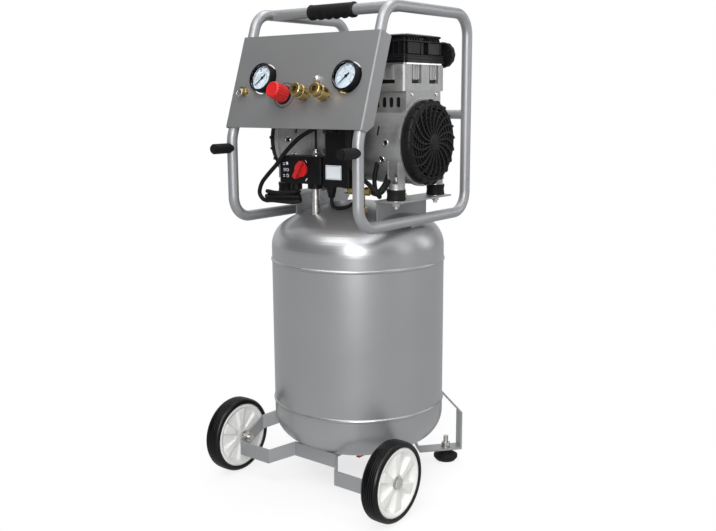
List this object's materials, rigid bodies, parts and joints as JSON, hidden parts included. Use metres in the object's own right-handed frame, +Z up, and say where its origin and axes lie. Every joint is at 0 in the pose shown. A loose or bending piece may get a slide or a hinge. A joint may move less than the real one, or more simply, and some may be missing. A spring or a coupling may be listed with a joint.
{
  "type": "wheeled air compressor",
  "caption": "Upright-tank, oil-free air compressor with a horizontal twin-cylinder pump, tube frame, slanted control panel, quick couplers, wheels and rear feet.",
  "frame": {"origin": "on the floor, under the middle of the whole machine's box", "axes": "+Z up, -Y the side with the control panel and wheels, +X to the right when facing the panel"},
  "size_m": [0.427, 0.4154, 0.9245],
  "materials": {
    "silver_paint": "satin metallic",
    "panel_paint": "satin metallic",
    "cast_aluminium": "sand-cast, satin",
    "aluminium_tube": "satin",
    "zinc_steel": "zinc plated",
    "core_steel": "laminated",
    "brass": "satin",
    "black_plastic": "fine grain",
    "black_gloss": "smooth",
    "black_rubber": "matt",
    "tyre_rubber": "ribbed",
    "hub_plastic": "smooth",
    "dial_white": "matt with printed scale",
    "needle_black": "matt",
    "lens": "clear",
    "red_plastic": "smooth"
  },
  "bodies": {
    "machine": {"tank_shell": "silver_paint", "tank_top_head": "silver_paint", "tank_bottom_head": "silver_paint", "drain_valve_body": "brass", "wheel_strap": "silver_paint", "foot_straps": "silver_paint", "rubber_feet": "black_rubber", "foot_bolts": "zinc_steel", "axle_bolts": "zinc_steel", "side_frames": "silver_paint", "frame_tabs": "silver_paint", "handle_tube": "silver_paint", "handle_grip": "black_rubber", "rear_cross_tube": "silver_paint", "peg_rods": "silver_paint", "peg_sleeves": "black_rubber", "control_panel": "panel_paint", "gauge_cases": "black_gloss", "gauge_dials": "dial_white", "gauge_lenses": "lens", "regulator_body": "brass", "regulator_nut": "black_gloss", "manifold_block": "brass", "coupler_bodies": "brass", "safety_valve_body": "brass", "motor_housing": "cast_aluminium", "stator_core": "core_steel", "shaft_bearings": "zinc_steel", "crankcases": "cast_aluminium", "cylinder_blocks": "cast_aluminium", "valve_plates": "zinc_steel", "head_covers": "black_plastic", "head_tube": "aluminium_tube", "fan_covers": "black_plastic", "intake_filters": "black_plastic", "motor_brackets": "silver_paint", "rubber_mounts": "black_rubber", "mount_bolts": "zinc_steel", "small_fasteners": "zinc_steel", "pressure_switch": "black_plastic", "switch_riser": "zinc_steel", "terminal_box": "black_plastic", "air_lines": "black_rubber", "power_cord": "black_rubber"},
    "left_wheel": {"left_tyre": "tyre_rubber", "left_hub": "hub_plastic"},
    "right_wheel": {"right_tyre": "tyre_rubber", "right_hub": "hub_plastic"},
    "left_needle": {"left_needle": "needle_black"},
    "right_needle": {"right_needle": "needle_black"},
    "regulator_knob": {"regulator_knob": "red_plastic"},
    "switch_knob": {"switch_knob": "red_plastic"},
    "left_coupler_sleeve": {"left_coupler_sleeve": "brass"},
    "right_coupler_sleeve": {"right_coupler_sleeve": "brass"},
    "safety_valve_pull": {"safety_valve_pull": "zinc_steel"},
    "drain_lever": {"drain_valve_lever": "red_plastic"},
    "rotor": {"rotor_shaft": "zinc_steel", "cooling_fans": "black_plastic"},
    "left_piston": {"left_piston": "aluminium_tube"},
    "right_piston": {"right_piston": "aluminium_tube"}
  },
  "joints": [
    {"name": "left_wheel_spin", "type": "hinge", "parent": "machine", "child": "left_wheel", "pos_m": [-0.1955, -0.12318, 0.075], "axis": [1, 0, 0], "continuous": true},
    {"name": "right_wheel_spin", "type": "hinge", "parent": "machine", "child": "right_wheel", "pos_m": [0.1955, -0.12318, 0.075], "axis": [1, 0, 0], "continuous": true},
    {"name": "left_needle_swing", "type": "hinge", "parent": "machine", "child": "left_needle", "pos_m": [-0.085, -0.13922, 0.79002], "axis": [0, 0.9466, -0.3223], "range_deg": [0, 270]},
    {"name": "right_needle_swing", "type": "hinge", "parent": "machine", "child": "right_needle", "pos_m": [0.1105, -0.13922, 0.79002], "axis": [0, 0.9466, -0.3223], "range_deg": [0, 270]},
    {"name": "regulator_turn", "type": "hinge", "parent": "machine", "child": "regulator_knob", "pos_m": [-0.028, -0.16246, 0.76519], "axis": [0, 0.9466, -0.3223], "range_deg": [0, 900]},
    {"name": "switch_turn", "type": "hinge", "parent": "machine", "child": "switch_knob", "pos_m": [-0.04, -0.08668, 0.622], "axis": [0, -1, 0], "range_deg": [0, 90]},
    {"name": "left_sleeve_slide", "type": "slide", "parent": "machine", "child": "left_coupler_sleeve", "axis": [0, 0.9466, -0.3223], "range_m": [0, 0.005]},
    {"name": "right_sleeve_slide", "type": "slide", "parent": "machine", "child": "right_coupler_sleeve", "axis": [0, 0.9466, -0.3223], "range_m": [0, 0.005]},
    {"name": "safety_pull_slide", "type": "slide", "parent": "machine", "child": "safety_valve_pull", "axis": [0, -0.9466, 0.3223], "range_m": [0, 0.004]},
    {"name": "drain_lever_turn", "type": "hinge", "parent": "machine", "child": "drain_lever", "pos_m": [0, 0.03332, 0.022], "axis": [0, 0, 1], "range_deg": [0, 90]},
    {"name": "rotor_spin", "type": "hinge", "parent": "machine", "child": "rotor", "pos_m": [0, 0.04132, 0.672], "axis": [1, 0, 0], "continuous": true},
    {"name": "left_piston_slide", "type": "slide", "parent": "machine", "child": "left_piston", "axis": [0, 0, 1], "range_m": [-0.008, 0.008]},
    {"name": "right_piston_slide", "type": "slide", "parent": "machine", "child": "right_piston", "axis": [0, 0, 1], "range_m": [-0.008, 0.008]}
  ],
  "couplings": [
    {"joint": "right_piston_slide", "follows": "left_piston_slide", "ratio": -1}
  ]
}
